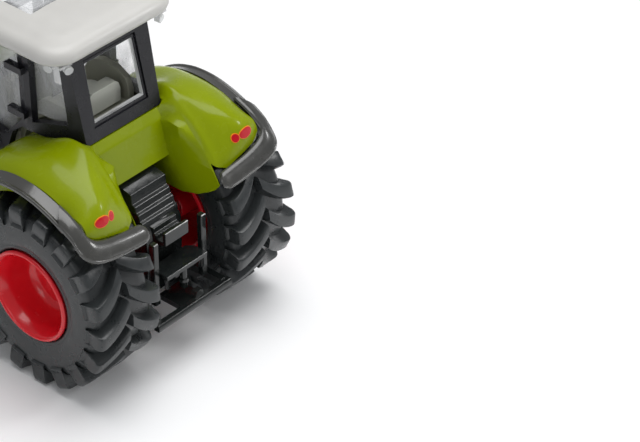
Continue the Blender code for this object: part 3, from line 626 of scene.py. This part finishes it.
def bonnet_spine():
    """The narrow dark intake panel along the top of the bonnet, towards the nose."""
    outline = [(-1.3, -70.0), (-2.0, -58.0), (-2.0, -47.0), (2.0, -47.0), (2.0, -58.0), (1.3, -70.0)]
    return inlay(cad_shape("bonnet"), prism("z", outline, 36.0, 50.0), (0.0, 0.0, SPINE_RISE))


def fender_trim():
    """The left fender's dark edge: a flat flare with a raised lip along the outer arc."""
    reaches = [(154, 24.2), (140, 24.2), (125, 24.1), (108, 23.8), (92, 23.1), (78, 22.4), (66, 22.0),
               (62, 21.95)]
    line = smooth_line([(angle, reach, 0.0) for angle, reach in reaches], 8)
    rings = []
    for spot in line:
        a, reach = math.radians(spot.x), spot.y
        section = [(TRIM_INNER_X, reach - 0.8), (25.35, reach - 0.8), (25.7, reach - 0.75),
                   (25.85, reach - 0.5), (25.8, reach - 0.12), (25.6, reach + 0.05), (25.3, reach + 0.03),
                   (25.1, reach - 0.15), (24.7, reach - 0.12), (TRIM_INNER_X, reach + 0.5)]
        rings.append([(x, r * math.cos(a), REAR_AXLE_Z + r * math.sin(a)) for x, r in section])
    return loft(rings)


def corner_trim():
    """The rear corner piece of the left trim: a crowned band that wraps from the rear face onto the arc.

    Each station gives the band's edge beside the green and its free edge, both as (x, y, z).
    """
    stations = [((10.6, 14.6, 33.6), (10.6, 15.7, 32.0)), ((10.9, 14.3, 34.3), (10.9, 16.2, 31.5)),
                ((12.5, 14.3, 34.6), (12.5, 16.4, 31.4)), ((17.6, 14.4, 35.4), (18.0, 16.5, 32.0)),
                ((21.2, 14.2, 36.4), (22.4, 16.4, 32.9)), ((22.85, 13.5, 37.6), (24.6, 15.7, 33.8)),
                ((22.95, 12.0, 39.0), (25.6, 14.1, 35.1)), ((22.95, 9.6, 40.5), (25.8, 12.0, 37.4)),
                ((22.9, 6.6, 41.7), (25.9, 9.2, 39.1))]
    inner_edge = smooth_line([inner for inner, outer in stations], 6)
    outer_edge = smooth_line([outer for inner, outer in stations], 6)
    section = [(0.0, 0.0), (0.02, 0.3), (0.08, 0.55), (0.2, 0.78), (0.4, 0.92), (0.62, 0.95), (0.8, 0.88),
               (0.86, 0.8), (0.89, 0.86), (0.95, 0.72), (0.99, 0.42), (1.0, 0.1), (0.96, -0.15),
               (0.85, -0.32), (0.5, -0.45), (0.12, -0.35)]
    hub = Vector((18.0, 0.0, REAR_AXLE_Z))
    rings = []
    for k, (inner, outer) in enumerate(zip(inner_edge, outer_edge)):
        before, after = max(k - 1, 0), min(k + 1, len(inner_edge) - 1)
        along = inner_edge[after] + outer_edge[after] - inner_edge[before] - outer_edge[before]
        proud = along.cross(outer - inner).normalized()
        if proud.dot(inner - hub) < 0:
            proud.negate()
        rings.append([inner.lerp(outer, share) + rise * proud for share, rise in section])
    return loft(rings)


def lamp_layer(grow, depth):
    """The left tail lamp's print: a large oval and a small circle laid on the fender's rear face."""
    ovals = []
    for (centre, radii), segments in ((LARGE_LAMP, 48), (SMALL_LAMP, 32)):
        outline = ellipse(centre, (radii[0] + grow, radii[1] + grow), segments)
        ovals.append(prism("y", outline, *LAMP_REACH))
    return inlay(rear_body(), cut(*ovals, operation="UNION"), (0.0, depth, 0.0))


def add_castings():
    """The two painted castings: the rear body with its fenders, and the bonnet."""
    add_piece("rear_casting", rear_body(), GREEN, "green_paint", ["rear_body"], soft_edge=0.22)
    add_piece("bonnet_casting", cad_shape("bonnet"), GREEN, "green_paint", ["bonnet"], soft_edge=0.3)


def add_fender_details():
    """The dark trim of both fenders and the printed tail lamps."""
    add_pair("trim_arc", fender_trim(), TRIM, "grey_trim", "fender_trim", soft_edge=0.08, crisp=40)
    add_pair("trim_corner", corner_trim(), TRIM, "grey_trim", soft_edge=0.3, crisp=45)
    add_pair("lamp_edge", lamp_layer(LAMP_EDGE_WIDTH, LAMP_EDGE_DEPTH), LAMP_EDGE, "lamp_red", "tail_lamp")
    add_pair("lamp", lamp_layer(0.0, LAMP_DEPTH), LAMP_RED, "lamp_red")


def add_bonnet_details():
    """The dark side vents and the intake panel of the bonnet."""
    add_pair("bonnet_vents", bonnet_vents(), BLACK, "black_plastic")
    add_piece("bonnet_spine", bonnet_spine(), BLACK, "black_plastic")


# ---------------------------------------------------------------- cab

def roof_ring(z, inset, corner, steps):
    """The roof's plan, drawn in by an inset, at a height above the roof's underside."""
    outline = rounded(ROOF_WIDTH - 2 * inset, ROOF_LENGTH - 2 * inset, corner, steps, ROOF_CENTRE)
    return [(x, y, ROOF_BOTTOM_Z + z) for x, y in outline]


def roof():
    """The roof: a thick rounded lid whose sides turn over a soft crease into a shallow crown."""
    levels = [(0.35, 1.6), (0.0, 1.0), (0.1, 0.7), (0.5, 0.2), (1.1, 0.0), (1.8, 0.12), (2.5, 0.5),
              (3.0, 1.1), (3.3, 2.0), (3.42, 2.9), (3.7, 3.6), (3.9, 5.0), (4.05, 7.5), (ROOF_HEIGHT, 10.5)]
    rings = [roof_ring(z, inset, max(5.2 - 0.3 * inset, 2.4), 10) for z, inset in levels]
    return cut(loft(rings), box(*HATCH))


def rim_under_roof():
    """The black rim between the cab's top and the roof."""
    rings = [roof_ring(z, inset, 4.2, 8) for z, inset in ((0.0, 2.2), (-0.35, 2.2), (-0.4, 2.6))]
    return cut(loft(rings), box(*RIM_OPENING))


def pane_frame(half_width, low, high, thickness, recess):
    """A slim frame set into the rear window, following the slope of the cab's rear."""
    outlines = []
    for grow in (0.0, thickness):
        w = half_width - grow
        outlines.append([(-w, low + grow), (w, low + grow), (w - 0.3, high - grow), (-w + 0.3, high - grow)])
    outer, inner = outlines
    shape = bmesh.new()
    rows = []
    for outline, depth in ((outer, 0.0), (inner, 0.0), (inner, 0.8), (outer, 0.8)):
        rows.append([shape.verts.new((x, cab_rear(z) - recess - depth, z)) for x, z in outline])
    for near, far in zip(rows, rows[1:] + rows[:1]):
        for i in range(4):
            shape.faces.new((near[i], near[(i + 1) % 4], far[(i + 1) % 4], far[i]))
    bmesh.ops.recalc_face_normals(shape, faces=shape.faces)
    return shape


def add_roof():
    """The roof lid, the black rim under it and the clear skylight."""
    add_piece("roof_lid", roof(), CREAM, "cream_plastic", ["roof"], soft_edge=0.12, crisp=40)
    add_piece("roof_rim", rim_under_roof(), BLACK, "black_plastic", soft_edge=0.1)
    add_piece("skylight_panel", cad_shape("skylight"), GLASS, "clear_plastic", ["skylight"], soft_edge=0.15)


def add_cab():
    """The cab moulding, its rear window frame and its panes."""
    add_piece("cab_moulding", cad_shape("cab_frame"), BLACK, "black_plastic", ["cab_frame"], soft_edge=0.18)
    window_frame = pane_frame(7.0, 47.0, 60.0, thickness=0.55, recess=0.35)
    add_piece("rear_window_frame", window_frame, BLACK, "black_plastic", soft_edge=0.1)
    window_lip = pane_frame(6.45, 47.55, 59.45, thickness=0.16, recess=0.6)
    add_piece("rear_window_lip", window_lip, LENS, "clear_plastic")
    add_piece("cab_panes", cad_shape("cab_glazing"), GLASS, "clear_plastic", ["cab_glazing"], soft_edge=0.1)


def add_small_parts():
    """The parts that keep their CAD shape and get softened edges."""
    for node, surface, slot, edge_size in (
            ("interior", GREY_IN_PAINTED_SHADE, "grey_plastic", 0.35),
            ("seat", SEAT_GREY, "grey_plastic", 0.6),
            ("steering_wheel", GREY_IN_PAINTED_SHADE, "grey_plastic", 0.0),
            ("grille", BLACK, "black_plastic", 0.1),
            ("exhaust", BLACK, "black_plastic", 0.15),
            ("front_rivet", STEEL, "axle_steel", 0.2),
            ("rear_rivet", STEEL, "axle_steel", 0.2),
            ("headlamp_left", LENS, "clear_plastic", 0.1),
            ("headlamp_right", LENS, "clear_plastic", 0.1),
            ("roof_lamps_left", LENS, "clear_plastic", 0.1),
            ("roof_lamps_right", LENS, "clear_plastic", 0.1)):
        add_piece(node + "_finished", cad_shape(node), surface, slot, [node], soft_edge=edge_size)


def add_chassis():
    """The chassis and the hitch parts, whose chamfered edges show as bright lines."""
    for node in ("chassis", "hitch_plate", "hitch_bar", "lift_rod_left", "lift_rod_right"):
        add_piece(node + "_finished", chamfered(cad_shape(node)), GEAR_BLACK, "black_plastic", [node])


# ---------------------------------------------------------------- stage, in metres

def add_floor():
    """A plain pale floor."""
    mesh = bpy.data.meshes.new("floor")
    shape = bmesh.new()
    bmesh.ops.create_grid(shape, x_segments=8, y_segments=8, size=3.0)
    shape.to_mesh(mesh)
    shape.free()
    surface = moulded("floor_white", (0.95, 0.95, 0.955), (0.96, 0.96, 0.965), 0.7, grain=0.03,
                      grain_scale=60.0, patch=3.0)
    mesh.materials.append(surface)
    floor = bpy.data.objects.new("floor", mesh)
    bpy.context.scene.collection.objects.link(floor)


def add_light(name, place, aim, size, power):
    """A square soft box at one place, pointed at another."""
    data = bpy.data.lights.new(name, "AREA")
    data.size = size
    data.energy = power
    light = bpy.data.objects.new(name, data)
    light.location = place
    light.rotation_euler = (Vector(aim) - Vector(place)).to_track_quat("-Z", "Y").to_euler()
    bpy.context.scene.collection.objects.link(light)


def add_lights():
    """A large soft box above, a weak one on the left, and a small one behind for the bright edges."""
    add_light("overhead", (-0.10, 0.05, 0.60), aim=(0.0, 0.02, 0.02), size=0.50, power=3.1)
    add_light("left_side", (0.55, 0.25, 0.35), aim=(0.0, 0.03, 0.03), size=0.30, power=0.35)
    add_light("behind", (-0.38, 0.40, 0.34), aim=(0.0, 0.03, 0.03), size=0.11, power=0.65)


def add_world():
    """An even, slightly cool studio glow from all round."""
    world = bpy.data.worlds.new("studio")
    world.use_nodes = True
    background = world.node_tree.nodes["Background"]
    background.inputs["Color"].default_value = (0.95, 0.97, 1.0, 1.0)
    background.inputs["Strength"].default_value = 0.33
    bpy.context.scene.world = world


def add_camera():
    """Behind the tractor and to its left, looking down; the front of the tractor runs out of the picture."""
    level = math.cos(CAMERA_TILT)
    back = Vector((math.sin(CAMERA_TURN) * level, math.cos(CAMERA_TURN) * level, math.sin(CAMERA_TILT)))
    right = Vector((-math.cos(CAMERA_TURN), math.sin(CAMERA_TURN), 0.0))
    up = back.cross(right)
    target = Vector((0.0, REAR_AXLE.y, CAMERA_TARGET_Z))
    data = bpy.data.cameras.new("camera")
    data.sensor_width = 36.0
    data.lens = CAMERA_LENS
    data.clip_start = 0.01
    camera = bpy.data.objects.new("camera", data)
    matrix = Matrix((right, up, back)).transposed().to_4x4()
    matrix.translation = target + CAMERA_DISTANCE * back + CAMERA_RIGHT * right + CAMERA_UP * up
    camera.matrix_world = matrix
    bpy.context.scene.collection.objects.link(camera)
    bpy.context.scene.camera = camera


add_wheels()
add_castings()
add_fender_details()
add_roof()
add_cab()
add_small_parts()
add_chassis()
add_bonnet_details()
add_floor()
add_world()
add_lights()
add_camera()
bpy.context.scene.view_settings.view_transform = "Standard"
